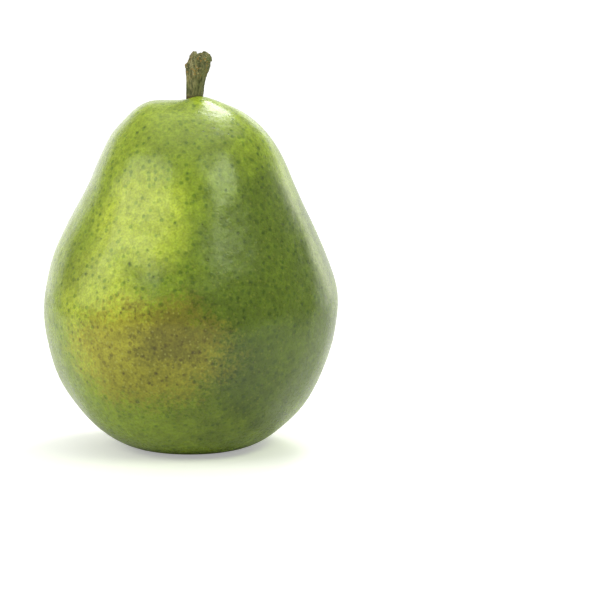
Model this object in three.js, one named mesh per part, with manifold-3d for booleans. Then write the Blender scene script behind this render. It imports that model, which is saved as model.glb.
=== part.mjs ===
// A whole green pear, standing on its calyx end.
// Units are millimetres and +Z is up. The origin is on the surface that the pear stands on,
// below the middle of the flesh, and the best side faces -Y.

import * as THREE from 'three';
import { mergeVertices } from 'three/addons/utils/BufferGeometryUtils.js';
import Module from 'manifold-3d';

const wasm = await Module();
wasm.setup();

// Flesh: radius and height of the places where the curves of its outline meet
const FOOT = { inner: 8, outer: 11 }; // the flat ring that it stands on
const BELLY = { radius: 38.2, height: 37.4 };
const NECK = { radius: 26, height: 71.3, slope: 0.35 }; // slope: the side's lean from upright
const SHOULDER = { radius: 11.3, height: 89.5 };
const CROWN = { radius: 3.9, height: 90.6 };

// Length of each curve's handle, out of the lower end and into the upper end of the curve
const LOWER_SIDE = { out: 13.4, into: 19.5 };
const UPPER_SIDE = { out: 11, into: 10 };
const SHOULDER_TURN = { out: 5.6, into: 7.3 };

// Hollow under the pear, and the seat in its roof that holds the calyx
const BASIN = { depth: 5.2, seatRadius: 3.4, seatDepth: 2, roofTurn: 2, rimTurn: 1.6 };
const FIT_GAP = 0.3; // between a root and the flesh round it

// Uneven growth: shares of the radius, and the angle of each swelling's middle
const OVAL = { share: 0.008, angle: 0.6 };
const THREE_SIDED = { share: 0.006, angle: 2.1 };
const RIBS = { count: 5, share: 0.016, angle: 0.3, fadeFrom: 10, fadeTo: 34 };

// The crown leans towards +X, and the flesh rises in a lip beside the stalk
const CROWN_TILT = { slope: 0.07, from: 83, to: 90 };
const LIP = { rise: 1.4, x: 4, width: 5 };

// Stalk: a woody stem that flares to a notched head
const STALK = { rootBottom: 82, radius: 2.25, x: 1.35 };
const FLARE = { start: 94, swell: 99.9, swellRadius: 3.25, rim: 102.8, rimRadius: 2.75, turn: 2 };
const BEND = { from: 92, reach: 1.5, over: 11 }; // sideways reach, at a height of "over"
const HEAD = { rise: 0.5, rings: [0.8, 0.4, 0], droop: 0.35 }; // rings: shares of the rim's radius
const NOTCH = { depth: 1.1, at: -0.1, width: 0.3 }; // place and width: shares of the rim's radius
const RIDGES = { count: 5, share: 0.05, angle: 0.4 };

// Calyx: five dried sepals round a tuft of stamens, on a short plug
const PLUG = { depth: 2.6, taper: 0.8 };
const SEPAL = { count: 5, length: 4.4, width: 2.7, thickness: 0.7, tipShare: 0.16, cup: 0.35 };
const SEPAL_BEND = { turn: 1.35, droop: 3.3, curl: 1.3 };
const SEPAL_ROOT = { radius: 1.5, height: 4.85 };
const STAMEN = { count: 9, length: 2.2, radius: 0.4, sides: 5, ring: 1.1, lean: 0.35, height: 4.9 };

// Facets
const AROUND = 64;
const PER_CURVE = 11;
const STALK_PER_CURVE = 6;
const STALK_AROUND = 20;
const PLUG_AROUND = 20;

const smooth = THREE.MathUtils.smoothstep;

// A closed geometry becomes a solid once its corners are shared and its slivers are gone.
function toSolid(geometry) {
  const bare = geometry.clone();
  bare.deleteAttribute('normal');
  bare.deleteAttribute('uv');
  const merged = mergeVertices(bare, 1e-4);
  const triangles = [];
  for (let i = 0; i < merged.index.count; i += 3) {
    const [a, b, c] = [0, 1, 2].map((k) => merged.index.getX(i + k));
    if (a !== b && b !== c && c !== a) triangles.push(a, b, c);
  }
  return new wasm.Manifold(new wasm.Mesh({
    numProp: 3,
    vertProperties: new Float32Array(merged.attributes.position.array),
    triVerts: new Uint32Array(triangles),
  }));
}

function toGeometry(solid) {
  const mesh = solid.getMesh();
  const geometry = new THREE.BufferGeometry();
  geometry.setAttribute('position', new THREE.BufferAttribute(mesh.vertProperties, 3));
  geometry.setIndex(new THREE.BufferAttribute(mesh.triVerts, 1));
  geometry.computeVertexNormals();
  return geometry;
}

// Moves every corner of a geometry to where the rule puts it.
function reshape(geometry, rule) {
  const places = geometry.attributes.position;
  const point = new THREE.Vector3();
  for (let i = 0; i < places.count; i += 1) {
    point.fromBufferAttribute(places, i);
    rule(point);
    places.setXYZ(i, point.x, point.y, point.z);
  }
  return geometry;
}

// A turned body round the Z axis, from an outline of (radius, height) points.
function turn(points, around) {
  return new THREE.LatheGeometry(points, around).rotateX(Math.PI / 2);
}

// The flesh's outline, from the seat's roof down through the basin, under and up to the crown.
function fleshOutline() {
  const seatTop = BASIN.depth + BASIN.seatDepth;
  const side = new THREE.Vector2(-Math.sin(NECK.slope), Math.cos(NECK.slope));
  const crownRun = new THREE.Vector2(CROWN.radius - SHOULDER.radius, CROWN.height - SHOULDER.height);
  crownRun.normalize();
  const path = new THREE.Path();
  path.moveTo(0, seatTop);
  path.lineTo(BASIN.seatRadius, seatTop);
  path.lineTo(BASIN.seatRadius, BASIN.depth);
  path.bezierCurveTo(
    BASIN.seatRadius + BASIN.roofTurn, BASIN.depth,
    FOOT.inner - BASIN.rimTurn, 0,
    FOOT.inner, 0,
  );
  path.lineTo(FOOT.outer, 0);
  path.bezierCurveTo(
    FOOT.outer + LOWER_SIDE.out, 0,
    BELLY.radius, BELLY.height - LOWER_SIDE.into,
    BELLY.radius, BELLY.height,
  );
  path.bezierCurveTo(
    BELLY.radius, BELLY.height + UPPER_SIDE.out,
    NECK.radius - side.x * UPPER_SIDE.into, NECK.height - side.y * UPPER_SIDE.into,
    NECK.radius, NECK.height,
  );
  path.bezierCurveTo(
    NECK.radius + side.x * SHOULDER_TURN.out, NECK.height + side.y * SHOULDER_TURN.out,
    SHOULDER.radius - crownRun.x * SHOULDER_TURN.into, SHOULDER.height - crownRun.y * SHOULDER_TURN.into,
    SHOULDER.radius, SHOULDER.height,
  );
  path.lineTo((SHOULDER.radius + CROWN.radius) / 2, (SHOULDER.height + CROWN.height) / 2);
  path.lineTo(CROWN.radius, CROWN.height);
  path.lineTo(0, CROWN.height);
  return path.getPoints(PER_CURVE);
}

// Swells the turned flesh unevenly, tips its crown and raises the lip beside the stalk.
function growUnevenly(point) {
  const angle = Math.atan2(point.y, point.x);
  const reach = Math.min(1, (Math.hypot(point.x, point.y) / BELLY.radius) ** 2);
  const lowDown = 1 - smooth(point.z, RIBS.fadeFrom, RIBS.fadeTo);
  const swelling = OVAL.share * Math.cos(2 * (angle - OVAL.angle))
    + THREE_SIDED.share * Math.cos(3 * (angle - THREE_SIDED.angle))
    + RIBS.share * lowDown * Math.cos(RIBS.count * (angle - RIBS.angle));
  point.x *= 1 + swelling * reach;
  point.y *= 1 + swelling * reach;
  const highUp = smooth(point.z, CROWN_TILT.from, CROWN_TILT.to);
  const fromLip = ((point.x - LIP.x) ** 2 + point.y ** 2) / LIP.width ** 2;
  point.z += highUp * (LIP.rise * Math.exp(-fromLip) - CROWN_TILT.slope * point.x);
}

// The socket is drilled straight down, so that the stalk's root stands on its flat floor.
function makeFruit() {
  const flesh = toSolid(reshape(turn(fleshOutline(), AROUND), growUnevenly));
  const radius = STALK.radius + FIT_GAP;
  const depth = CROWN.height + 2 * LIP.rise - STALK.rootBottom;
  const drill = new THREE.CylinderGeometry(radius, radius, depth, STALK_AROUND).rotateX(Math.PI / 2);
  drill.translate(STALK.x, 0, STALK.rootBottom + depth / 2);
  return toGeometry(flesh.subtract(toSolid(drill)));
}

function stalkOutline() {
  const path = new THREE.Path();
  path.moveTo(0, STALK.rootBottom);
  path.lineTo(STALK.radius, STALK.rootBottom);
  path.lineTo(STALK.radius, BEND.from);
  path.lineTo(STALK.radius, FLARE.start);
  path.bezierCurveTo(
    STALK.radius, FLARE.start + FLARE.turn,
    FLARE.swellRadius, FLARE.swell - FLARE.turn,
    FLARE.swellRadius, FLARE.swell,
  );
  path.quadraticCurveTo(FLARE.swellRadius, FLARE.swell + FLARE.turn / 2, FLARE.rimRadius, FLARE.rim);
  for (const share of HEAD.rings) path.lineTo(FLARE.rimRadius * share, FLARE.rim + HEAD.rise);
  return path.getPoints(STALK_PER_CURVE);
}

// Above the flesh the stalk is ridged, it bends towards +X, and a notch splits its head.
function weather(point) {
  const free = smooth(point.z, BEND.from, FLARE.start);
  const angle = Math.atan2(point.y, point.x);
  const ridge = 1 + free * RIDGES.share * Math.cos(RIDGES.count * (angle - RIDGES.angle));
  const across = point.x / FLARE.rimRadius;
  const top = smooth(point.z, FLARE.swell, FLARE.rim);
  const notch = Math.exp(-(((across - NOTCH.at) / NOTCH.width) ** 2));
  const bend = BEND.reach * (Math.max(0, point.z - BEND.from) / BEND.over) ** 2;
  point.x = point.x * ridge + STALK.x + bend;
  point.y *= ridge;
  point.z += top * (NOTCH.depth * (0.5 - notch) - HEAD.droop * across);
}

function makeStalk() {
  return toGeometry(toSolid(reshape(turn(stalkOutline(), STALK_AROUND), weather)));
}

// One sepal grows out along +X, narrows to a point, droops and curls up at its tip.
function makeSepal() {
  const { length, width, thickness, tipShare, cup } = SEPAL;
  const blade = new THREE.BoxGeometry(length, width, thickness, 6, 2, 1).translate(length / 2, 0, 0);
  return reshape(blade, (point) => {
    const along = THREE.MathUtils.clamp(point.x / length, 0, 1);
    const edge = (2 * point.y / width) ** 2;
    point.y *= Math.max(tipShare, Math.sqrt(1 - along ** 1.5));
    point.x = length * Math.sin(SEPAL_BEND.turn * along) / SEPAL_BEND.turn;
    point.z += cup * edge * (1 - along) + SEPAL_BEND.curl * along ** 4;
    point.z -= SEPAL_BEND.droop * Math.sin(SEPAL_BEND.turn * along);
  });
}

// A stamen hangs from the middle. Each third one stands straight, and the others lean outwards.
function makeStamen(index) {
  const step = (index % 3) / 2;
  const spike = new THREE.ConeGeometry(STAMEN.radius, STAMEN.length, STAMEN.sides);
  spike.rotateX(-Math.PI / 2).translate(0, 0, -STAMEN.length / 2);
  return spike.rotateY(-STAMEN.lean * step).translate(STAMEN.ring * step, 0, STAMEN.height);
}

// The plug's top meets the seat's roof, and everything hangs from it inside the basin.
function makeCalyx() {
  const seatTop = BASIN.depth + BASIN.seatDepth;
  const plugRadius = BASIN.seatRadius - FIT_GAP;
  const plug = new THREE.CylinderGeometry(plugRadius, plugRadius * PLUG.taper, PLUG.depth, PLUG_AROUND);
  plug.rotateX(Math.PI / 2).translate(0, 0, seatTop - PLUG.depth / 2);
  let calyx = toSolid(plug);
  for (let i = 0; i < SEPAL.count; i += 1) {
    const sepal = makeSepal().translate(SEPAL_ROOT.radius, 0, SEPAL_ROOT.height);
    calyx = calyx.add(toSolid(sepal.rotateZ((2 * Math.PI * i) / SEPAL.count)));
  }
  for (let i = 0; i < STAMEN.count; i += 1) {
    const stamen = makeStamen(i).rotateZ((2 * Math.PI * i) / STAMEN.count);
    calyx = calyx.add(toSolid(stamen));
  }
  return toGeometry(calyx);
}

function addPiece(group, name, geometry, color, roughness) {
  const material = new THREE.MeshStandardMaterial({ color, roughness, metalness: 0 });
  const mesh = new THREE.Mesh(geometry, material);
  mesh.name = name;
  group.add(mesh);
}

const pear = new THREE.Group();
pear.name = 'pear';
addPiece(pear, 'fruit', makeFruit(), 0x8aa03f, 0.38);
addPiece(pear, 'stalk', makeStalk(), 0x6b6a45, 0.85);
addPiece(pear, 'calyx', makeCalyx(), 0x3a2a18, 0.9);

export default pear;
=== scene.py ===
"""A whole green pear with speckled waxy skin, a barky stalk and a dried calyx, in a pale studio."""

import logging
import math
import random
from dataclasses import dataclass, field
from enum import Enum
from typing import Callable, Sequence

import bpy
from mathutils import Matrix, Vector, noise


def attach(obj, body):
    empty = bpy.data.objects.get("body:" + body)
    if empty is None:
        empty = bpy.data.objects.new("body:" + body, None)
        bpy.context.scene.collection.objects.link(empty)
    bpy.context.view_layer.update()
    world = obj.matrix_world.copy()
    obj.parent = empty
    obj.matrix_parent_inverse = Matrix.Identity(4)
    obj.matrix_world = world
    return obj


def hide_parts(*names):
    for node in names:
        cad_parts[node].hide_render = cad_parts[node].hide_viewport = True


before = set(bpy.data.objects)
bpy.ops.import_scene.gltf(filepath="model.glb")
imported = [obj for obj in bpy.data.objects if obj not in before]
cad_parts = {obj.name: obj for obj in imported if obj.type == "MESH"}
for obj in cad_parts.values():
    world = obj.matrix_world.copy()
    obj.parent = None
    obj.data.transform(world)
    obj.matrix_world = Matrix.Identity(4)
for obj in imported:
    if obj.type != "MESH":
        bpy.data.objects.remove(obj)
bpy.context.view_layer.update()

MM = 0.001
BODY = "root"
WHITE = (1.0, 1.0, 1.0)
MIX_FACTOR, MIX_UNDER, MIX_OVER, MIX_RESULT = 0, 6, 7, 2

log = logging.getLogger("pear")

Triple = tuple[float, float, float]
Colour = Triple
Pair = tuple[float, float]
Socket = bpy.types.NodeSocket


class Blend(Enum):
    """How one colour is laid over another."""

    PLAIN = "MIX"
    DARKEN = "MULTIPLY"


def smooth(value: float, start: float, end: float) -> float:
    """Ease from 0 to 1 as a value goes from start to end.

    Args:
        value: the number to ease.
        start: where the result leaves 0.
        end: where the result reaches 1.

    Returns:
        A number from 0 to 1.
    """
    t = min(1.0, max(0.0, (value - start) / (end - start)))
    return t * t * (3 - 2 * t)


class Bench:
    """The modelling steps that every piece shares."""

    @staticmethod
    def clear() -> None:
        """Leave edit mode and deselect everything, so that an operator meets only the new piece."""
        if bpy.context.object and bpy.context.object.mode != "OBJECT":
            bpy.ops.object.mode_set(mode="OBJECT")
        bpy.ops.object.select_all(action="DESELECT")

    @staticmethod
    def take(piece: bpy.types.Object) -> None:
        """Make one piece the active and only selected one.

        Args:
            piece: the object to work on.
        """
        Bench.clear()
        piece.select_set(True)
        bpy.context.view_layer.objects.active = piece

    @staticmethod
    def close_up(piece: bpy.types.Object, distance: float = 1e-6) -> None:
        """Merge doubles and turn every face outwards.

        Args:
            piece: the mesh object to mend.
            distance: points nearer than this become one.
        """
        Bench.take(piece)
        bpy.ops.object.mode_set(mode="EDIT")
        bpy.ops.mesh.select_all(action="SELECT")
        bpy.ops.mesh.remove_doubles(threshold=distance)
        bpy.ops.mesh.normals_make_consistent(inside=False)
        bpy.ops.object.mode_set(mode="OBJECT")

    @staticmethod
    def apply(piece: bpy.types.Object, kind: str, **settings: object) -> None:
        """Add a modifier, set it and apply it.

        Args:
            piece: the object that gets the modifier.
            kind: the modifier's type.
            **settings: values of the modifier's own properties.
        """
        Bench.take(piece)
        modifier = piece.modifiers.new(kind.title(), kind)
        for name, value in settings.items():
            setattr(modifier, name, value)
        bpy.ops.object.modifier_apply(modifier=modifier.name)

    @staticmethod
    def subdivide(piece: bpy.types.Object, levels: int) -> None:
        """Round a piece off with a subdivision surface, splitting each face levels times."""
        Bench.apply(piece, "SUBSURF", levels=levels, render_levels=levels)

    @staticmethod
    def reshape(piece: bpy.types.Object, rule: Callable[[Vector], Vector]) -> None:
        """Move every point of a mesh to where a rule puts it.

        Args:
            piece: the mesh object.
            rule: gives a point's new place from its old one.
        """
        for vertex in piece.data.vertices:
            vertex.co = rule(vertex.co.copy())
        piece.data.update()

    @staticmethod
    def push(piece: bpy.types.Object, rule: Callable[[Vector], float]) -> None:
        """Move every point along its own normal.

        Args:
            piece: the mesh object.
            rule: gives how far a point moves out, in metres, from its place.
        """
        moves = [v.normal * rule(v.co) for v in piece.data.vertices]
        for vertex, move in zip(piece.data.vertices, moves):
            vertex.co += move
        piece.data.update()

    @staticmethod
    def finish(piece: bpy.types.Object, name: str, material: bpy.types.Material, slot: str) -> None:
        """Name a finished piece, give it its material and let it ride on the pear.

        Args:
            piece: the finished mesh object, in its place.
            name: the piece's name.
            material: the material for all its faces.
            slot: the record's material slot; not used.
        """
        Bench.take(piece)
        bpy.ops.object.transform_apply(location=True, rotation=True, scale=True)
        bpy.ops.object.shade_smooth()
        piece.name = name
        piece.data.name = name
        piece.data.materials.clear()
        piece.data.materials.append(material)
        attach(piece, BODY)
        log.info("%s: %d faces", name, len(piece.data.polygons))


class Tree:
    """Adds shader nodes to a tree and links them."""

    def __init__(self, tree: bpy.types.NodeTree) -> None:
        """Take up a tree.

        Args:
            tree: the node tree of a material or a world.
        """
        self.tree = tree

    def add(self, kind: str, **settings: object) -> bpy.types.Node:
        """Add a node and set its own properties.

        Args:
            kind: the node's type.
            **settings: values of the node's properties.

        Returns:
            The new node.
        """
        node = self.tree.nodes.new(kind)
        for name, value in settings.items():
            setattr(node, name, value)
        return node

    def feed(self, socket: Socket, value: object) -> None:
        """Link a socket to another, or set it to a plain value.

        Args:
            socket: the input to fill.
            value: an output socket, a number or a colour.
        """
        if isinstance(value, bpy.types.NodeSocket):
            self.tree.links.new(value, socket)
        elif isinstance(value, tuple) and len(value) == 3 and socket.type == "RGBA":
            socket.default_value = (*value, 1.0)
        else:
            socket.default_value = value

    def maths(self, operation: str, first: object, second: object = 0.0) -> Socket:
        """One sum.

        Args:
            operation: the Math node's operation.
            first: a number or socket.
            second: a number or socket.

        Returns:
            The result.
        """
        node = self.add("ShaderNodeMath", operation=operation)
        self.feed(node.inputs[0], first)
        self.feed(node.inputs[1], second)
        return node.outputs[0]

    def eased(self, value: Socket, start: float, end: float, low: float = 0.0,
              high: float = 1.0) -> Socket:
        """Ease a value from low to high as it goes from start to end.

        Args:
            value: the value to read.
            start: where the result leaves low.
            end: where the result reaches high.
            low: the result before start.
            high: the result after end.

        Returns:
            The eased value.
        """
        node = self.add("ShaderNodeMapRange", interpolation_type="SMOOTHSTEP")
        self.feed(node.inputs["Value"], value)
        limits = {"From Min": start, "From Max": end, "To Min": low, "To Max": high}
        for name, number in limits.items():
            node.inputs[name].default_value = number
        return node.outputs["Result"]

    def vector(self, operation: str, first: Socket, second: Sequence[float] | None = None,
               output: str = "Vector") -> Socket:
        """One sum with vectors.

        Args:
            operation: the Vector Math node's operation.
            first: the vector to work on.
            second: a fixed vector to work with, if the operation takes two.
            output: which result to read, Vector or Value.

        Returns:
            The result.
        """
        node = self.add("ShaderNodeVectorMath", operation=operation)
        self.feed(node.inputs[0], first)
        if second is not None:
            node.inputs[1].default_value = second
        return node.outputs[output]

    def split(self, vector: Socket, letter: str) -> Socket:
        """One part of a vector.

        Args:
            vector: the vector to read.
            letter: X, Y or Z.

        Returns:
            The part's value.
        """
        node = self.add("ShaderNodeSeparateXYZ")
        self.feed(node.inputs[0], vector)
        return node.outputs[letter]

    def camera_sees(self) -> Socket:
        """Whether a ray comes straight from the camera, as 1 or 0."""
        return self.add("ShaderNodeLightPath").outputs["Is Camera Ray"]


class Wiring(Tree):
    """Builds one material's shader nodes."""

    def __init__(self, name: str) -> None:
        """Start a material with an empty tree and its object coordinates.

        Args:
            name: the material's name.
        """
        self.material = bpy.data.materials.new(name)
        self.material.use_nodes = True
        super().__init__(self.material.node_tree)
        self.tree.nodes.clear()
        output = self.add("ShaderNodeOutputMaterial")
        self.shader = self.add("ShaderNodeBsdfPrincipled")
        self.feed(output.inputs["Surface"], self.shader.outputs["BSDF"])
        self.place = self.add("ShaderNodeTexCoord").outputs["Object"]

    def settle(self, **values: object) -> None:
        """Set the main shader's sockets, by their names with underscores for spaces."""
        for name, value in values.items():
            self.feed(self.shader.inputs[name.replace("_", " ")], value)

    def stretched(self, scale: Triple, turn: Triple = (0.0, 0.0, 0.0)) -> Socket:
        """Object coordinates, stretched and turned.

        Args:
            scale: a factor for each axis.
            turn: an angle about each axis, in radians.

        Returns:
            The new coordinates.
        """
        node = self.add("ShaderNodeMapping")
        self.feed(node.inputs["Vector"], self.place)
        node.inputs["Scale"].default_value = scale
        node.inputs["Rotation"].default_value = turn
        return node.outputs["Vector"]

    def clouds(self, size_mm: float, detail: float = 2.0, rough: float = 0.5,
               place: Socket | None = None) -> Socket:
        """Soft noise.

        Args:
            size_mm: the size of its features.
            detail: how many finer layers it has.
            rough: how strong the finer layers are.
            place: coordinates, or the object's own.

        Returns:
            The noise's value, from 0 to 1.
        """
        node = self.add("ShaderNodeTexNoise")
        self.feed(node.inputs["Vector"], place or self.place)
        node.inputs["Scale"].default_value = 1 / (size_mm * MM)
        node.inputs["Detail"].default_value = detail
        node.inputs["Roughness"].default_value = rough
        return node.outputs["Fac"]

    def cells(self, size_mm: float, place: Socket | None = None) -> tuple[Socket, Socket]:
        """Scattered points.

        Args:
            size_mm: the spacing of the points.
            place: coordinates, or the object's own.

        Returns:
            The distance to the nearest point in spacings, and a random colour for that point.
        """
        node = self.add("ShaderNodeTexVoronoi")
        self.feed(node.inputs["Vector"], place or self.place)
        node.inputs["Scale"].default_value = 1 / (size_mm * MM)
        return node.outputs["Distance"], node.outputs["Color"]

    def mix(self, share: object, under: object, over: object, how: Blend = Blend.PLAIN) -> Socket:
        """Lay one colour over another.

        Args:
            share: how much of the upper colour shows.
            under: the lower colour.
            over: the upper colour.
            how: the way of laying it.

        Returns:
            The mixed colour.
        """
        node = self.add("ShaderNodeMix", data_type="RGBA", blend_type=how.value)
        for index, value in ((MIX_FACTOR, share), (MIX_UNDER, under), (MIX_OVER, over)):
            self.feed(node.inputs[index], value)
        return node.outputs[MIX_RESULT]

    def axis(self, letter: str) -> Socket:
        """One object coordinate, named X, Y or Z, in metres."""
        return self.split(self.place, letter)

    def part(self, colour: Socket, letter: str) -> Socket:
        """One channel of a colour.

        Args:
            colour: the colour to read.
            letter: Red, Green or Blue.

        Returns:
            The channel's value.
        """
        node = self.add("ShaderNodeSeparateColor")
        self.feed(node.inputs[0], colour)
        return node.outputs[letter]

    def reach(self, centre_mm: Triple, radii_mm: Triple) -> Socket:
        """How far a point is from a centre, in shares of the radius along each axis.

        Args:
            centre_mm: the middle.
            radii_mm: the distance along each axis that counts as 1.

        Returns:
            The distance.
        """
        shift = self.vector("SUBTRACT", self.place, [c * MM for c in centre_mm])
        share = self.vector("DIVIDE", shift, [r * MM for r in radii_mm])
        return self.vector("LENGTH", share, output="Value")

    def bump(self, height: Socket, depth_mm: float, under: Socket | None = None) -> Socket:
        """Relief.

        Args:
            height: the height's pattern, from 0 to 1.
            depth_mm: how high 1 stands.
            under: a relief that this one lies on.

        Returns:
            The normal.
        """
        node = self.add("ShaderNodeBump")
        self.feed(node.inputs["Height"], height)
        node.inputs["Strength"].default_value = 1.0
        node.inputs["Distance"].default_value = depth_mm * MM
        if under:
            self.feed(node.inputs["Normal"], under)
        return node.outputs["Normal"]


@dataclass(frozen=True)
class Region:
    """An ellipsoid of colour, given in millimetres, with a wandering, crumbling edge.

    The edge holds the shares of the radii where the colour starts and where it is full. Wander and
    crumble say how far noise of middle size and fine noise move it.
    """

    centre: Triple
    radii: Triple
    edge: Pair
    wander: float
    crumble: float = 0.0

    def share(self, w: Wiring, blotch: Socket, grain: Socket | None = None) -> Socket:
        """How much of the region's colour shows.

        Args:
            w: the material's wiring.
            blotch: noise of middle size.
            grain: fine noise, for an edge that crumbles.

        Returns:
            The share, from 0 to 1.
        """
        far = w.reach(self.centre, self.radii)
        far = w.maths("ADD", far, w.eased(blotch, 0.2, 0.8, self.wander, -self.wander))
        if grain:
            far = w.maths("ADD", far, w.eased(grain, 0.25, 0.75, self.crumble, -self.crumble))
        return w.eased(far, *self.edge)


@dataclass(frozen=True)
class SkinFinish:
    """Waxy pear skin: a yellow blush, part of it a painted highlight, deep green opposite, part of
    it painted shade, russet below, and speckled.

    Spot, russet_spot and the painted shade factor darken the skin below them, and so are not
    colours of their own. The painted shade regions are where that factor paints shade: low at the
    front, on the crown's front, in a gap of the key highlight and on the left flank. Rings are the
    corky ones. Mottling holds sizes in millimetres with a dark and a light factor. Reliefs hold a
    size, a detail and a depth.
    """

    green: Colour = (0.262, 0.355, 0.024)
    pale: Colour = (0.355, 0.460, 0.034)
    yellow: Colour = (0.480, 0.565, 0.055)
    deep: Colour = (0.096, 0.142, 0.013)
    russet: Colour = (0.385, 0.352, 0.025)
    brown: Colour = (0.170, 0.148, 0.014)
    core: Colour = (0.050, 0.042, 0.010)
    fleck: Colour = (0.48, 0.48, 0.10)
    scar: Colour = (0.20, 0.17, 0.035)
    spot: Colour = (0.57, 0.67, 0.55)
    russet_spot: Colour = (0.60, 0.56, 0.52)
    painted_shade: Colour = (0.69, 0.70, 0.66)
    # The yellow blush: partly the skin's own, partly a painted highlight, the key highlight's
    # yellow tint.
    blush_and_highlight: Region = Region((-13.0, -29.0, 64.5), (14.0, 18.0, 16.0), (1.15, 0.55), 0.20)
    low_blush_and_highlight: Region = Region((-22.5, -30.0, 40.0), (13.0, 18.0, 19.0), (1.30, 0.60), 0.20)
    # Deep green, partly the skin's own and partly painted shade on the right and low at the front.
    shade: Region = Region((23.0, -27.0, 40.0), (29.0, 36.0, 46.0), (1.15, 0.60), 0.14)
    patch: Region = Region((-11.0, -34.0, 30.5), (21.0, 26.0, 14.5), (1.22, 0.62), 0.16, 0.24)
    patch_core: Region = Region((-3.5, -38.0, 37.5), (10.0, 16.0, 8.5), (1.35, 0.45), 0.35, 0.30)
    # Painted shade: low at the front, on the crown's front, in a gap of the key highlight and on
    # the left flank.
    painted_shade_regions: Sequence[Region] = (
        Region((5.0, -34.0, 20.0), (27.0, 28.0, 23.0), (1.30, 0.30), 0.16),
        Region((3.0, -17.5, 82.5), (17.0, 15.0, 7.8), (1.30, 0.30), 0.16),
        Region((-9.0, -32.0, 50.5), (7.5, 12.0, 6.0), (1.30, 0.30), 0.16),
        Region((-29.5, -22.0, 50.5), (5.0, 12.0, 7.5), (1.30, 0.30), 0.16),
    )
    rings: Sequence[Region] = (
        Region((1.35, 0.0, 92.0), (3.2, 3.2, 3.2), (1.15, 0.7), 0.3),
        Region((0.0, 0.0, 4.0), (6.5, 6.5, 6.5), (1.15, 0.7), 0.3),
    )
    mottling: Sequence[Triple] = ((6.0, 0.93, 1.05), (1.9, 0.84, 1.08), (0.55, 0.84, 1.12))
    reliefs: Sequence[Triple] = ((6.5, 2.0, 0.26), (1.5, 1.0, 0.045), (0.5, 1.0, 0.014))
    shade_most: float = 0.9
    blush_and_highlight_most: float = 0.9
    patch_most: float = 0.95
    patch_core_most: float = 0.78
    ring_most: float = 0.8
    speck_edge: Pair = (0.46, 0.22)
    core_edge: Pair = (0.19, 0.09)
    core_most: float = 0.70
    small_edge: Pair = (0.38, 0.14)
    fleck_edge: Pair = (0.30, 0.10)
    speck_dent: float = -0.035
    roughness: float = 0.29
    roughness_spread: float = 0.06
    russet_roughness: float = 0.12
    coat: float = 0.20
    coat_roughness: float = 0.15

    def build(self) -> bpy.types.Material:
        """Make the material.

        Returns:
            The skin's material.
        """
        w = Wiring("pear_skin")
        blotch = w.clouds(8.5, 3.0, 0.6)
        grain = w.clouds(0.9, 3.0, 0.65)
        colour = self.pigment(w, blotch)
        russet = self.patch.share(w, blotch, grain)
        colour = w.mix(w.maths("MULTIPLY", russet, self.patch_most), colour, self.russet)
        brown = self.patch_core.share(w, blotch, grain)
        colour = w.mix(w.maths("MULTIPLY", brown, self.patch_core_most), colour, self.brown)
        # Painted shade, darkening each of its regions.
        for region in self.painted_shade_regions:
            colour = w.mix(region.share(w, blotch), colour, self.painted_shade, Blend.DARKEN)
        colour = self.mottle(w, colour)
        colour, marks = self.specks(w, colour, russet)
        for region in self.rings:
            ring = w.maths("MULTIPLY", region.share(w, blotch), self.ring_most)
            colour = w.mix(ring, colour, self.scar)
        relief = None
        for size, detail, depth in self.reliefs:
            relief = w.bump(w.clouds(size, detail, 0.5), depth, relief)
        relief = w.bump(marks, self.speck_dent, relief)
        low, high = self.roughness - self.roughness_spread, self.roughness + self.roughness_spread
        rough = w.eased(grain, 0.25, 0.75, low, high)
        rough = w.maths("ADD", rough, w.maths("MULTIPLY", russet, self.russet_roughness))
        w.settle(Base_Color=colour, Roughness=rough, Normal=relief, Coat_Weight=self.coat,
                 Coat_Roughness=self.coat_roughness, IOR=1.42)
        return w.material

    def pigment(self, w: Wiring, blotch: Socket) -> Socket:
        """The skin's broad colours, with a painted highlight in the yellow blush and painted shade
        in the deep green.

        Args:
            w: the material's wiring.
            blotch: noise of middle size.

        Returns:
            The colour.
        """
        broad = w.clouds(40, 2.0, 0.5)
        colour = w.mix(w.eased(broad, 0.42, 0.66, 0.0, 0.5), self.green, self.pale)
        high = w.eased(w.axis("Z"), 70 * MM, 90 * MM, 0.0, 0.5)
        colour = w.mix(high, colour, self.pale)
        low = w.eased(w.axis("Z"), 16 * MM, 2 * MM, 0.0, 0.2)
        colour = w.mix(low, colour, self.deep)
        # Deep green at the right, partly painted shade.
        shade = w.maths("MULTIPLY", self.shade.share(w, blotch), self.shade_most)
        colour = w.mix(shade, colour, self.deep)
        # Yellow blush at the left, partly a painted highlight.
        blush_and_highlight = w.maths("MAXIMUM", self.blush_and_highlight.share(w, blotch), self.low_blush_and_highlight.share(w, blotch))
        return w.mix(w.maths("MULTIPLY", blush_and_highlight, self.blush_and_highlight_most), colour, self.yellow)

    def mottle(self, w: Wiring, colour: Socket) -> Socket:
        """Cloudy light and dark in the skin, from 6 mm down to half a millimetre.

        Args:
            w: the material's wiring.
            colour: the skin's broad colour.

        Returns:
            The mottled colour.
        """
        for size, dark, light in self.mottling:
            tone = w.eased(w.clouds(size, 1.0, 0.5), 0.30, 0.70, dark, light)
            colour = w.mix(1.0, colour, tone, Blend.DARKEN)
        return colour

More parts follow.
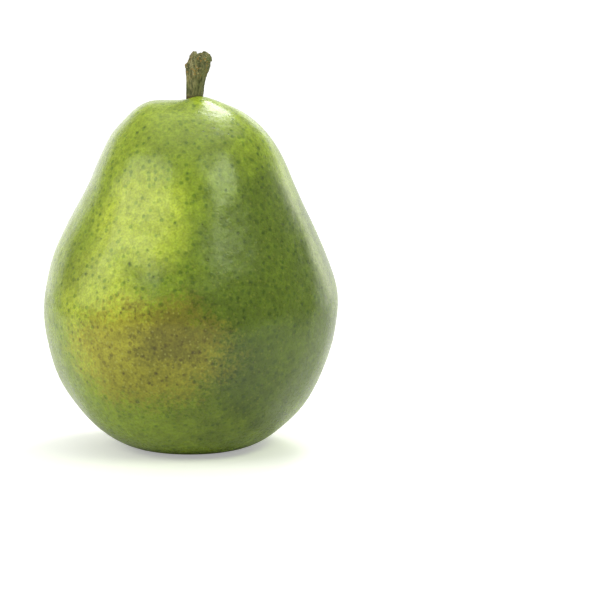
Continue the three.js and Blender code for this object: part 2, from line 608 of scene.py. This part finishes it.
    def specks(self, w: Wiring, colour: Socket, russet: Socket) -> tuple[Socket, Socket]:
        """Lenticels: soft green spots, some with a dark core, and close brown spots in the russet.

        Args:
            w: the material's wiring.
            colour: the skin's colour below them.
            russet: how russet the skin is.

        Returns:
            The colour with the specks, and their height pattern.
        """
        near, lot = w.cells(1.62)
        strength = w.eased(w.part(lot, "Red"), 0.0, 1.0, 0.25, 1.0)
        spot = w.maths("MULTIPLY", w.eased(near, *self.speck_edge), strength)
        tone = w.mix(russet, self.spot, self.russet_spot)
        colour = w.mix(spot, colour, tone, Blend.DARKEN)
        chosen = w.eased(w.part(lot, "Green"), 0.55, 1.0)
        core = w.maths("MULTIPLY", w.eased(near, *self.core_edge), chosen)
        colour = w.mix(w.maths("MULTIPLY", core, self.core_most), colour, self.core)
        close, draw = w.cells(1.12, w.stretched((1.0, 1.0, 1.0), (0.4, 0.2, 0.0)))
        crowd = w.maths("MAXIMUM", w.eased(w.clouds(5.0, 1.0), 0.48, 0.62, 0.0, 0.55), russet)
        crowd = w.maths("MULTIPLY", crowd, w.part(draw, "Red"))
        small = w.maths("MULTIPLY", w.eased(close, *self.small_edge), crowd)
        colour = w.mix(small, colour, tone, Blend.DARKEN)
        scattered, _ = w.cells(1.3, w.stretched((1.0, 1.0, 0.9), (0.1, 0.5, 0.3)))
        shown = w.eased(russet, 0.0, 1.0, 0.16, 0.34)
        light = w.maths("MULTIPLY", w.eased(scattered, *self.fleck_edge), shown)
        colour = w.mix(light, colour, self.fleck)
        return colour, w.maths("MAXIMUM", core, small)


@dataclass(frozen=True)
class BarkFinish:
    """Olive-brown bark with long cracks, pale warts and rusty flecks, and painted shade down its
    right side.

    The painted shade side, head and foot each hold the two heights or places, in millimetres,
    between which that colour comes in.
    """

    light: Colour = (0.320, 0.290, 0.135)
    dark: Colour = (0.105, 0.112, 0.043)
    crack: Colour = (0.040, 0.030, 0.011)
    rust: Colour = (0.34, 0.205, 0.055)
    pale: Colour = (0.50, 0.42, 0.22)
    scar: Colour = (0.085, 0.052, 0.015)
    green: Colour = (0.13, 0.19, 0.05)
    # Painted shade: the stalk darkens towards its right side, away from the key lamp.
    painted_shade_side: Pair = (0.7, 2.4)
    head: Pair = (96.0, 98.5)
    foot: Pair = (92.7, 92.2)

    def build(self) -> bpy.types.Material:
        """Make the material.

        Returns:
            The bark's material.
        """
        w = Wiring("stalk_bark")
        long_place = w.stretched((1.0, 1.0, 0.22))
        streak = w.clouds(0.55, 3.0, 0.6, long_place)
        grain = w.clouds(0.35, 3.0, 0.65)
        colour = w.mix(w.eased(streak, 0.40, 0.60), self.dark, self.light)
        colour = w.mix(w.eased(w.clouds(2.2, 2.0), 0.58, 0.70, 0.0, 0.5), colour, self.green)
        # Painted shade down the stalk's right side.
        colour = w.mix(self.across(w, "X", self.painted_shade_side, 0.55), colour, self.dark)
        cracks = w.eased(streak, 0.40, 0.33)
        colour = w.mix(w.maths("MULTIPLY", cracks, 0.6), colour, self.crack)
        high = self.across(w, "Z", self.head)
        flecks = w.eased(w.clouds(0.8, 2.0, 0.6), 0.56, 0.64)
        rust = w.maths("MULTIPLY", flecks, w.maths("MULTIPLY", high, 0.8))
        colour = w.mix(rust, colour, self.rust)
        near, draw = w.cells(1.15)
        chosen = w.eased(w.part(draw, "Red"), 0.35, 0.75)
        warts = w.maths("MULTIPLY", w.eased(near, 0.32, 0.16), chosen)
        shown = w.maths("MULTIPLY", warts, w.eased(high, 0.0, 1.0, 0.25, 0.85))
        colour = w.mix(shown, colour, self.pale)
        foot = w.maths("MULTIPLY", self.across(w, "Z", self.foot), 0.8)
        colour = w.mix(foot, colour, self.scar)
        relief = w.bump(streak, 0.30)
        relief = w.bump(grain, 0.10, relief)
        relief = w.bump(warts, 0.10, relief)
        rough = w.eased(grain, 0.3, 0.7, 0.66, 0.9)
        w.settle(Base_Color=colour, Roughness=rough, Normal=relief, IOR=1.45)
        return w.material

    @staticmethod
    def across(w: Wiring, letter: str, places: Pair, most: float = 1.0) -> Socket:
        """Ease from 0 to most between two places along an axis, in millimetres."""
        start, end = places
        return w.eased(w.axis(letter), start * MM, end * MM, 0.0, most)


@dataclass(frozen=True)
class DriedFinish:
    """Dead brown sepals: dark, papery and flecked paler."""

    brown: Colour = (0.085, 0.050, 0.022)
    dark: Colour = (0.022, 0.014, 0.008)
    pale: Colour = (0.21, 0.155, 0.085)

    def build(self) -> bpy.types.Material:
        """Make the material.

        Returns:
            The dried parts' material.
        """
        w = Wiring("dried_sepal")
        streak = w.clouds(0.7, 3.0, 0.6)
        fine = w.clouds(0.25, 2.0, 0.6)
        colour = w.mix(w.eased(streak, 0.35, 0.6), self.dark, self.brown)
        colour = w.mix(w.eased(fine, 0.56, 0.72, 0.0, 0.7), colour, self.pale)
        relief = w.bump(fine, 0.08, w.bump(streak, 0.20))
        w.settle(Base_Color=colour, Roughness=w.eased(fine, 0.3, 0.7, 0.7, 0.92), Normal=relief)
        return w.material


@dataclass
class Fruit:
    """The flesh and its skin, from the calyx basin below to the crown round the stalk.

    Sizes are in millimetres, and other numbers are shares or angles in radians. The section from
    seat to crown and the uneven growth are the CAD solid's. The lip, pit, tilt, rise, rounding and
    swells are the skin's own. Each swell is a centre, a reach and a height.
    """

    seat: Pair = (3.4, 7.2)
    basin_depth: float = 5.2
    basin_turn: Pair = (2.0, 1.6)
    foot: Pair = (8.0, 11.0)
    foot_turn: float = 0.8
    belly: Pair = (38.2, 37.4)
    neck: Pair = (26.0, 71.3)
    neck_slope: float = 0.35
    shoulder: Pair = (11.3, 89.5)
    shoulder_run: float = 2.4
    crown: Pair = (3.9, 90.6)
    crown_run: Pair = (2.0, 0.4)
    lip: Pair = (3.1, 90.55)
    lip_turn: Triple = (0.35, 0.05, 0.06)
    pit: Pair = (2.35, 86.0)
    pit_rise: float = 3.2
    lower_side: Pair = (13.4, 19.5)
    upper_side: Pair = (11.0, 10.0)
    shoulder_turn: Pair = (5.6, 7.3)
    oval: Pair = (0.008, 0.6)
    three_sided: Pair = (0.006, 2.1)
    ribs: tuple[int, float, float] = (5, 0.016, 0.3)
    rib_fade: Pair = (10.0, 34.0)
    tilt: Triple = (0.085, 81.6, 90.0)
    rise: float = 2.3
    rise_at: Pair = (2.8, -4.0)
    rise_reach: tuple[float, float, float, float] = (4.4, 11.2, 6.6, 5.4)
    round_back: Pair = (0.004, 2.2)
    round_left: Pair = (0.032, 8.4)
    swells: Sequence[tuple[Triple, float, float]] = (
        ((-24.5, -3.0, 72.0), 13.0, -0.45),
        ((-34.5, -3.0, 53.0), 8.0, 0.65),
        ((-37.0, -3.0, 39.0), 6.0, -0.30),
        ((-31.5, -3.0, 19.5), 8.5, 0.70),
        ((-12.0, -30.5, 58.0), 5.0, 0.35),
        ((-14.0, -33.0, 46.5), 5.0, -0.28),
        ((9.5, -24.5, 68.2), 7.0, 0.55),
    )
    swells_above: Pair = (1.5, 9.0)
    calm: Triple = (0.7, 80.0, 88.0)
    broad: Pair = (15.0, 0.45)
    middle: Pair = (6.0, 0.09)
    stalk_x: float = 1.35
    stalk_reach: Pair = (3.0, 12.0)
    around: int = 128
    steps: int = 12
    finish: SkinFinish = field(default_factory=SkinFinish)

    def outline(self) -> list[tuple[Vector, Vector, Vector]]:
        """The half section, as points with a handle before and after each.

        Returns:
            Triples of handle, point and handle, in millimetres, with X as the radius.
        """
        def flat(radius: float, height: float) -> Vector:
            """A point of the section."""
            return Vector((radius, 0.0, height))

        side = flat(-math.sin(self.neck_slope), math.cos(self.neck_slope))
        run = (flat(*self.crown) - flat(*self.shoulder)).normalized()
        seat_in, seat_out = flat(0, self.seat[1]), flat(*self.seat)
        roof = flat(self.seat[0], self.basin_depth)
        foot_in, foot_out = flat(self.foot[0], 0), flat(self.foot[1], 0)
        belly, neck = flat(*self.belly), flat(*self.neck)
        shoulder, crown = flat(*self.shoulder), flat(*self.crown)
        lip, pit, pit_in = flat(*self.lip), flat(*self.pit), flat(0, self.pit[1])
        foot_turn = flat(self.foot_turn, 0)
        over, before, after = self.lip_turn
        return [
            (seat_in, seat_in, seat_in),
            (seat_out, seat_out, seat_out),
            (roof, roof, roof + flat(self.basin_turn[0], 0)),
            (foot_in - flat(self.basin_turn[1], 0), foot_in, foot_in + foot_turn),
            (foot_out - foot_turn, foot_out, foot_out + flat(self.lower_side[0], 0)),
            (belly - flat(0, self.lower_side[1]), belly, belly + flat(0, self.upper_side[0])),
            (neck - side * self.upper_side[1], neck, neck + side * self.shoulder_turn[0]),
            (shoulder - run * self.shoulder_turn[1], shoulder, shoulder + run * self.shoulder_run),
            (crown - run * self.crown_run[0], crown, crown + run * self.crown_run[1]),
            (lip + flat(over, before), lip, lip - flat(over, after)),
            (pit + flat(0, self.pit_rise), pit, pit),
            (pit_in, pit_in, pit_in),
        ]

    def draw(self) -> bpy.types.Object:
        """Draw the half section as a curve and spin it round.

        Returns:
            The turned, closed shell.
        """
        Bench.clear()
        bpy.ops.curve.primitive_bezier_curve_add()
        curve = bpy.context.object
        points = self.outline()
        spline = curve.data.splines[0]
        spline.bezier_points.add(len(points) - len(spline.bezier_points))
        for knot, (before, place, after) in zip(spline.bezier_points, points):
            knot.handle_left_type = knot.handle_right_type = "FREE"
            knot.handle_left, knot.co, knot.handle_right = before * MM, place * MM, after * MM
        curve.data.resolution_u = self.steps
        bpy.ops.object.convert(target="MESH")
        shell = bpy.context.object
        bpy.ops.object.mode_set(mode="EDIT")
        bpy.ops.mesh.select_all(action="SELECT")
        bpy.ops.mesh.spin(steps=self.around, angle=2 * math.pi, center=(0, 0, 0), axis=(0, 0, 1))
        Bench.close_up(shell)
        return shell

    def grow(self, point: Vector) -> Vector:
        """Swell the turned flesh unevenly and tip its crown.

        The crown moves over to the stalk, rises at its right and rounds off at the left and back.

        Args:
            point: a place on the turned shell, in metres.

        Returns:
            Its place on the grown pear.
        """
        p = point / MM
        angle = math.atan2(p.y, p.x)
        radius = math.hypot(p.x, p.y)
        reach = min(1.0, (radius / self.belly[0]) ** 2)
        low = 1 - smooth(p.z, *self.rib_fade)
        count, share, start = self.ribs
        swelling = self.oval[0] * math.cos(2 * (angle - self.oval[1]))
        swelling += self.three_sided[0] * math.cos(3 * (angle - self.three_sided[1]))
        swelling += share * low * math.cos(count * (angle - start))
        p.x *= 1 + swelling * reach
        p.y *= 1 + swelling * reach
        high = smooth(p.z, self.tilt[1], self.tilt[2])
        near = smooth(p.z, self.tilt[1], self.pit[1])
        p.x += self.stalk_x * near * (1 - smooth(radius, *self.stalk_reach))
        left, right, front, back = self.rise_reach
        across, along = p.x - self.rise_at[0], p.y - self.rise_at[1]
        spread = (across / (left if across < 0 else right)) ** 2
        spread += (along / (front if along < 0 else back)) ** 2
        drop = self.round_back[0] * (p.y - self.round_back[1]) ** 2
        drop += self.round_left[0] * max(0.0, -p.x - self.round_left[1]) ** 2
        p.z += high * (self.rise * math.exp(-spread) - self.tilt[0] * p.x - drop)
        return p * MM

    def unevenness(self, place: Vector) -> float:
        """Low dents and swellings in the flesh.

        Args:
            place: a point of the skin, in metres.

        Returns:
            How far the skin stands out there, in metres.
        """
        clear = smooth(place.z / MM, *self.swells_above)
        quiet, start, end = self.calm
        calm = 1 - quiet * smooth(place.z / MM, start, end)
        broad = noise.noise(place / (self.broad[0] * MM)) * self.broad[1]
        apart = Vector((7.0, 3.0, 1.0))
        middle = noise.noise(place / (self.middle[0] * MM) + apart) * self.middle[1]
        shaped = sum(
            height * math.exp(-(place / MM - Vector(centre)).length_squared / radius ** 2)
            for centre, radius, height in self.swells
        )
        return ((broad + middle) * calm + shaped) * clear * MM

    def build(self) -> bpy.types.Object:
        """Make the fruit and put it in the CAD fruit's place.

        Returns:
            The finished piece.
        """
        shell = self.draw()
        Bench.reshape(shell, self.grow)
        Bench.subdivide(shell, 1)
        Bench.push(shell, self.unevenness)
        Bench.finish(shell, "fruit_skin", self.finish.build(), "skin")
        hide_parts("fruit")
        return shell


@dataclass
class Stalk:
    """The woody stem, drawn up in rings from its root to its flared and notched head.

    Root and rings are heights and radii in millimetres, and the notch, lobes and falls are placed
    by shares of the head's radius. Knobs, lumps, warts and crumbs give how close their noise is
    and how high they stand, with more for crumbs on the head.
    """

    root: Pair = (82.0, 2.25)
    rings: Sequence[Pair] = (
        (90.5, 2.25), (92.2, 2.26), (94.0, 2.24), (95.8, 2.38), (97.3, 2.60), (98.6, 2.90),
        (99.8, 3.22), (100.9, 3.05), (102.0, 3.05), (102.8, 2.98), (103.5, 2.70),
    )
    x: float = 1.35
    bend: Triple = (92.0, 1.5, 11.0)
    sides: int = 20
    facets: tuple[int, float, float] = (7, 2.3, 96.0)
    notch: Triple = (0.55, -0.10, 0.20)
    lobes: Sequence[Triple] = ((0.50, -0.57, 0.25), (0.30, 0.30, 0.22))
    falls: Pair = (1.3, 0.45)
    fall_left: Pair = (0.55, 1.10)
    fall_right: Pair = (0.25, 1.0)
    head_top: Pair = (100.6, 103.0)
    head_drop: float = 0.35
    knobs: Pair = (0.9, 0.35)
    clear: Pair = (91.8, 93.6)
    head: Pair = (96.5, 99.5)
    facet_level: float = 1.035
    facet_twist: float = 0.02
    lines: Pair = (17.0, 0.05)
    lumps: Pair = (0.75, 0.32)
    warts: Pair = (1.6, 0.36)
    wart_start: float = 0.10
    crumbs: Triple = (3.2, 0.04, 0.14)
    end_rings: int = 3
    end_step: float = 0.55
    finish: BarkFinish = field(default_factory=BarkFinish)

    def draw(self) -> bpy.types.Object:
        """Draw a disc up, ring by ring.

        Returns:
            The plain closed stem.
        """
        Bench.clear()
        height, radius = self.root
        bpy.ops.mesh.primitive_circle_add(
            vertices=self.sides, radius=radius * MM, fill_type="NGON", location=(0, 0, height * MM)
        )
        stem = bpy.context.object
        bpy.ops.object.transform_apply(location=True, rotation=True, scale=True)
        bpy.ops.object.mode_set(mode="EDIT")
        bpy.ops.mesh.select_all(action="SELECT")
        for next_height, next_radius in self.rings:
            rise = (next_height - height) * MM
            bpy.ops.mesh.extrude_region_move(TRANSFORM_OT_translate={"value": (0, 0, rise)})
            share, middle = next_radius / radius, (0, 0, next_height * MM)
            bpy.ops.transform.resize(value=(share, share, 1), center_override=middle)
            height, radius = next_height, next_radius
        for _ in range(self.end_rings):
            bpy.ops.mesh.inset(thickness=self.end_step * MM)
        bpy.ops.mesh.poke()
        Bench.close_up(stem)
        return stem

    def middle(self, height: float) -> float:
        """How far towards +X the bent stem's middle lies at a height, both in millimetres."""
        start, reach, over = self.bend
        return self.x + reach * (max(0.0, height - start) / over) ** 2

    def weather(self, point: Vector) -> Vector:
        """Bend the stem towards +X, split its head with a notch and break it down at both sides.

        Args:
            point: a place on the plain stem, in metres.

        Returns:
            Its place on the weathered one.
        """
        p = point / MM
        across = p.x / self.rings[-2][1]
        top = smooth(p.z, *self.head_top)
        depth, at, width = self.notch
        split = math.exp(-(((across - at + 0.1 * p.y) / width) ** 2))
        fall = self.falls[0] * smooth(-across, *self.fall_left)
        fall += self.falls[1] * smooth(across, *self.fall_right)
        close, most = self.knobs
        knobs = noise.noise(Vector((p.x * close, p.y * close, 4.0))) * most
        knobs += sum(
            height * math.exp(-(((across - place) / size) ** 2))
            for height, place, size in self.lobes
        )
        p.x += self.middle(p.z)
        p.z += top * (-self.head_drop - depth * split - fall + knobs)
        return p * MM

    def bark(self, place: Vector) -> float:
        """Ridges along the stem, cracks between them, and lumps towards its head.

        Args:
            place: a point of the bark, in metres.

        Returns:
            How far the bark stands out there, in metres.
        """
        p = place / MM
        free = smooth(p.z, *self.clear)
        head = smooth(p.z, *self.head)
        angle = math.atan2(p.y, p.x - self.middle(p.z))
        count, size, start = self.facets
        sector = 2 * math.pi / count
        twist = self.facet_twist * (p.z - self.bend[0])
        turn = (angle + math.radians(start) + twist) % sector - sector / 2
        ridge = size * (1 / math.cos(turn) - self.facet_level)
        fine = self.lines[1] * math.cos(self.lines[0] * angle + 0.5 * math.sin(p.z))
        lump = noise.noise(p * self.lumps[0]) * self.lumps[1] * head
        bare = noise.noise(p * self.warts[0] + Vector((3, 1, 5))) - self.wart_start
        wart = max(0.0, bare) * (0.15 + 0.85 * head) * self.warts[1]
        close, low, more = self.crumbs
        crumb = noise.noise(p * close) * (low + more * head)
        return free * (ridge + fine + lump + wart + crumb) * MM

    def build(self) -> bpy.types.Object:
        """Make the stalk and put it in the CAD stalk's place.

        Returns:
            The finished piece.
        """
        stem = self.draw()
        Bench.subdivide(stem, 3)
        Bench.reshape(stem, self.weather)
        Bench.push(stem, self.bark)
        Bench.finish(stem, "stalk_bark", self.finish.build(), "stalk")
        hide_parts("stalk")
        return stem


@dataclass
class Calyx:
    """The dried flower in the basin below: a cup, five curled sepals and a tuft of stamens.

    Sizes are in millimetres. Droops, curls, twists, reaches, waves, leans and sizes are the ranges
    that each sepal and stamen draws its own number from.
    """

    seat_top: float = 7.2
    cup_radius: float = 3.1
    cup_depth: float = 2.9
    cup_steps: Sequence[Pair] = ((0.5, 0.0), (0.4, -0.7), (0.9, -0.3))
    sepals: int = 5
    sepal: Triple = (5.0, 3.0, 0.22)
    root: Pair = (1.4, 4.75)
    jitter: float = 0.12
    droops: Pair = (0.52, 0.72)
    curls: Pair = (1.3, 2.1)
    twists: Pair = (-0.5, 0.5)
    reaches: Pair = (0.86, 1.05)
    waves: Pair = (0.0, 6.0)
    arch: float = 1.35
    sag: float = 1.4
    ripple: float = 0.07
    hollow: float = 0.55
    flutter: float = 0.12
    stamens: int = 16
    stamen: Pair = (2.6, 0.14)
    stamen_turn: float = 2.4
    stamen_ring: float = 1.5
    stamen_lift: float = 0.9
    neck_at: float = 0.32
    leans: Pair = (0.1, 0.9)
    sizes: Pair = (0.7, 1.05)
    seed: int = 7
    finish: DriedFinish = field(default_factory=DriedFinish)

    def cup(self) -> bpy.types.Object:
        """The plug that fills the seat, hollowed a little from below.

        Returns:
            The cup.
        """
        Bench.clear()
        bpy.ops.mesh.primitive_cylinder_add(
            vertices=40, radius=self.cup_radius * MM, depth=self.cup_depth * MM,
            location=(0, 0, (self.seat_top - self.cup_depth / 2) * MM),
        )
        cup = bpy.context.object
        bpy.ops.object.transform_apply(location=True, rotation=True, scale=True)
        for face in cup.data.polygons:
            face.select = face.normal.z < -0.9
        bpy.ops.object.mode_set(mode="EDIT")
        bpy.ops.mesh.select_mode(type="FACE")
        for inward, depth in self.cup_steps:
            bpy.ops.mesh.inset(thickness=inward * MM, depth=depth * MM)
        bpy.ops.mesh.poke()
        bpy.ops.object.mode_set(mode="OBJECT")
        Bench.apply(cup, "BEVEL", width=0.15 * MM, segments=2, limit_method="ANGLE")
        return cup

    def leaf(self, draw: random.Random) -> bpy.types.Object:
        """One sepal along +X, narrowed to a point, cupped, drooping and curled at its tip.

        Args:
            draw: the source of its small differences.

        Returns:
            The sepal, with its root at the origin.
        """
        length, width, thick = self.sepal
        Bench.clear()
        bpy.ops.mesh.primitive_grid_add(x_subdivisions=14, y_subdivisions=6, size=1)
        leaf = bpy.context.object
        droop, curl = draw.uniform(*self.droops), draw.uniform(*self.curls)
        twist, reach = draw.uniform(*self.twists), draw.uniform(*self.reaches)
        wave = draw.uniform(*self.waves)

        def shape(p: Vector) -> Vector:
            """Where a point of the flat unit square lies on the sepal."""
            along = min(1.0, max(0.0, p.x + 0.5))
            edge = 2 * p.y
            half = 0.5 * width * max(0.05, (1 - along ** 1.6)) ** 0.7
            half *= 1 + self.ripple * math.sin(9 * along + wave)
            x = reach * length * math.sin(self.arch * along) / self.arch
            z = -length * droop * math.sin(self.sag * along) + curl * along ** 4
            z += self.hollow * edge ** 2 * (0.3 + along)
            z += self.flutter * math.sin(7 * along + 3 * edge + wave)
            turn = twist * along
            return Vector((x, half * edge * math.cos(turn), z + half * edge * math.sin(turn))) * MM

        Bench.reshape(leaf, shape)
        Bench.apply(leaf, "SOLIDIFY", thickness=thick * MM, offset=0.0)
        Bench.subdivide(leaf, 1)
        return leaf

    def thread(self, draw: random.Random) -> bpy.types.Object:
        """One dried stamen hanging from the origin, bent and ending in a small head.

        Args:
            draw: the source of its small differences.

        Returns:
            The stamen.
        """
        length, radius = self.stamen
        Bench.clear()
        bpy.ops.mesh.primitive_cylinder_add(vertices=6, radius=radius * MM, depth=length * MM)
        thread = bpy.context.object
        bpy.ops.object.mode_set(mode="EDIT")
        bpy.ops.mesh.select_all(action="SELECT")
        bpy.ops.mesh.bisect(plane_co=(0, 0, 0), plane_no=(0, 0, 1))
        bpy.ops.mesh.select_all(action="SELECT")
        bpy.ops.mesh.bisect(plane_co=(0, 0, -self.neck_at * length * MM), plane_no=(0, 0, 1))
        bpy.ops.object.mode_set(mode="OBJECT")
        lean = draw.uniform(*self.leans)
        way = draw.uniform(0, 2 * math.pi)
        size = draw.uniform(*self.sizes)

        def shape(p: Vector) -> Vector:
            """Where a point of the straight cylinder lies on the stamen."""
            down = max(0.0, 0.5 - p.z / (length * MM))
            fat = 1.9 if down > 0.95 else (0.8 if down > 0.3 else 1.3)
            off = lean * down ** 1.7 * MM
            x, y = p.x * fat + off * math.cos(way), p.y * fat + off * math.sin(way)
            return Vector((x, y, -down * length * size * MM))

        Bench.reshape(thread, shape)
        Bench.subdivide(thread, 1)
        return thread

    def build(self) -> bpy.types.Object:
        """Make the calyx and put it in the CAD calyx's place.

        Returns:
            The finished piece.
        """
        draw = random.Random(self.seed)
        parts = [self.cup()]
        for i in range(self.sepals):
            leaf = self.leaf(draw)
            turn = 2 * math.pi * i / self.sepals + draw.uniform(-self.jitter, self.jitter)
            place = Matrix.Translation((self.root[0] * MM, 0, self.root[1] * MM))
            leaf.data.transform(Matrix.Rotation(turn, 4, "Z") @ place)
            parts.append(leaf)
        for i in range(self.stamens):
            thread = self.thread(draw)
            turn = self.stamen_turn * i
            ring = self.stamen_ring * math.sqrt((i + 0.5) / self.stamens)
            height = self.seat_top - self.cup_depth + self.stamen_lift
            place = Vector((ring * math.cos(turn), ring * math.sin(turn), height))
            thread.data.transform(Matrix.Translation(place * MM))
            parts.append(thread)
        Bench.take(parts[0])
        for part in parts[1:]:
            part.select_set(True)
        bpy.ops.object.join()
        calyx = bpy.context.object
        Bench.finish(calyx, "calyx_dried", self.finish.build(), "sepals")
        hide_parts("calyx")
        return calyx


@dataclass(frozen=True)
class Softbox:
    """One soft lamp, placed by the direction that it shines from.

    Angles are in degrees, with azimuth 0 at the camera. Lengths are in metres, and power in watts.
    """

    name: str
    azimuth: float
    elevation: float
    distance: float
    width: float
    height: float
    power: float
    tint: Colour = (1.0, 1.0, 1.0)
    roll: float = 0.0

    def build(self, target: Vector) -> None:
        """Hang the lamp and aim it.

        Args:
            target: the place that it shines at.
        """
        a, e = math.radians(self.azimuth), math.radians(self.elevation)
        away = Vector((math.sin(a) * math.cos(e), -math.cos(a) * math.cos(e), math.sin(e)))
        lamp = bpy.data.lights.new(self.name, "AREA")
        lamp.shape = "RECTANGLE"
        lamp.size, lamp.size_y = self.width, self.height
        lamp.energy = self.power
        lamp.color = self.tint
        holder = bpy.data.objects.new(self.name, lamp)
        holder.location = target + away * self.distance
        facing = (-away).to_track_quat("-Z", "Y").to_matrix()
        roll = Matrix.Rotation(math.radians(self.roll), 3, "Z")
        holder.rotation_euler = (facing @ roll).to_euler()
        bpy.context.scene.collection.objects.link(holder)


@dataclass
class Studio:
    """A pale floor, white surroundings, soft lamps and a long lens a little above the pear.

    Wall_sides and dim_sides are cosines from wall_way. Wall_top and ceiling_rise are heights on a
    unit sphere. Both aims and view_width are in millimetres, and floor_radius is in metres.
    """

    lens: float = 400.0
    sensor: float = 36.0
    elevation: float = 10.0
    view_width: float = 156.0
    aim: Triple = (28.6, 0.0, 38.6)
    floor_radius: float = 0.36
    floor_colour: Colour = (0.84, 0.84, 0.84)
    floor_roughness: float = 0.9
    floor_lift: float = 0.36
    front: float = 0.30
    wall: float = 1.45
    wall_way: Triple = (0.17, 0.985, 0.0)
    wall_sides: Pair = (0.45, 0.75)
    wall_top: Pair = (0.32, 0.14)
    wall_dim: float = 0.58
    dim_sides: Pair = (0.88, 0.99)
    ceiling: float = 1.30
    ceiling_rise: Pair = (0.55, 1.0)
    lamp_aim: Triple = (0.0, 0.0, 50.0)
    lamps: Sequence[Softbox] = (
        Softbox("key", -58, 34, 0.60, 0.62, 0.165, 1.06, (0.98, 1.0, 0.88), 8),
        Softbox("low_key", -81, 15, 0.60, 0.40, 0.18, 0.32, (0.98, 1.0, 0.88)),
        Softbox("strip", 46, 41, 0.60, 0.37, 0.12, 1.25, (0.86, 1.0, 0.58), 5),
        Softbox("rear", 151, 55, 0.60, 0.190, 0.180, 1.42),
        Softbox("sweep", 162, 24, 0.60, 0.22, 0.30, 0.25),
        Softbox("side", 137, 5, 0.60, 0.20, 0.20, 0.15, (0.92, 1.0, 0.45)),
    )

    def floor(self) -> None:
        """Lay the floor, which looks a little brighter to the camera than to the pear."""
        Bench.clear()
        bpy.ops.mesh.primitive_circle_add(vertices=96, radius=self.floor_radius, fill_type="NGON")
        floor = bpy.context.object
        floor.name = "floor"
        w = Wiring("pale_floor")
        lift = w.maths("MULTIPLY", w.camera_sees(), self.floor_lift)
        w.settle(Base_Color=self.floor_colour, Roughness=self.floor_roughness,
                 Emission_Color=WHITE, Emission_Strength=lift)
        floor.data.materials.append(w.material)

    def room(self) -> None:
        """Surround the pear with a white wall behind, a bright ceiling and a dim front.

        The camera itself sees plain white.
        """
        world = bpy.data.worlds.new("studio")
        world.use_nodes = True
        t = Tree(world.node_tree)
        direction = t.add("ShaderNodeTexCoord").outputs["Generated"]
        height = t.split(direction, "Z")
        back = t.vector("DOT_PRODUCT", direction, self.wall_way, "Value")
        sides = t.eased(back, *self.wall_sides, 0.0, self.wall)
        wall = t.maths("MULTIPLY", sides, t.eased(height, *self.wall_top))
        wall = t.maths("MULTIPLY", wall, t.eased(back, *self.dim_sides, 1.0, self.wall_dim))
        above = t.eased(height, *self.ceiling_rise, self.front, self.ceiling)
        seen = t.maths("MAXIMUM", t.maths("ADD", wall, above), t.camera_sees())
        background = t.tree.nodes["Background"]
        t.feed(background.inputs["Color"], WHITE)
        t.feed(background.inputs["Strength"], seen)
        bpy.context.scene.world = world

    def camera(self) -> None:
        """Set up the camera at the photograph's angle."""
        data = bpy.data.cameras.new("camera")
        data.lens = self.lens
        data.sensor_width = self.sensor
        camera = bpy.data.objects.new("camera", data)
        e = math.radians(self.elevation)
        back = Vector((0, -math.cos(e), math.sin(e)))
        camera.location = (Vector(self.aim) + back * self.view_width * self.lens / self.sensor) * MM
        camera.rotation_euler = (-back).to_track_quat("-Z", "Y").to_euler()
        bpy.context.scene.collection.objects.link(camera)
        bpy.context.scene.camera = camera

    def build(self) -> None:
        """Set up the whole studio."""
        bpy.context.scene.view_settings.view_transform = "Standard"
        self.camera()
        self.floor()
        self.room()
        for lamp in self.lamps:
            lamp.build(Vector(self.lamp_aim) * MM)


def main() -> None:
    """Build the studio and the pear."""
    logging.basicConfig(level=logging.INFO, format="%(name)s: %(message)s")
    Studio().build()
    for part in (Fruit(), Stalk(), Calyx()):
        part.build()


if __name__ == "__main__":
    main()
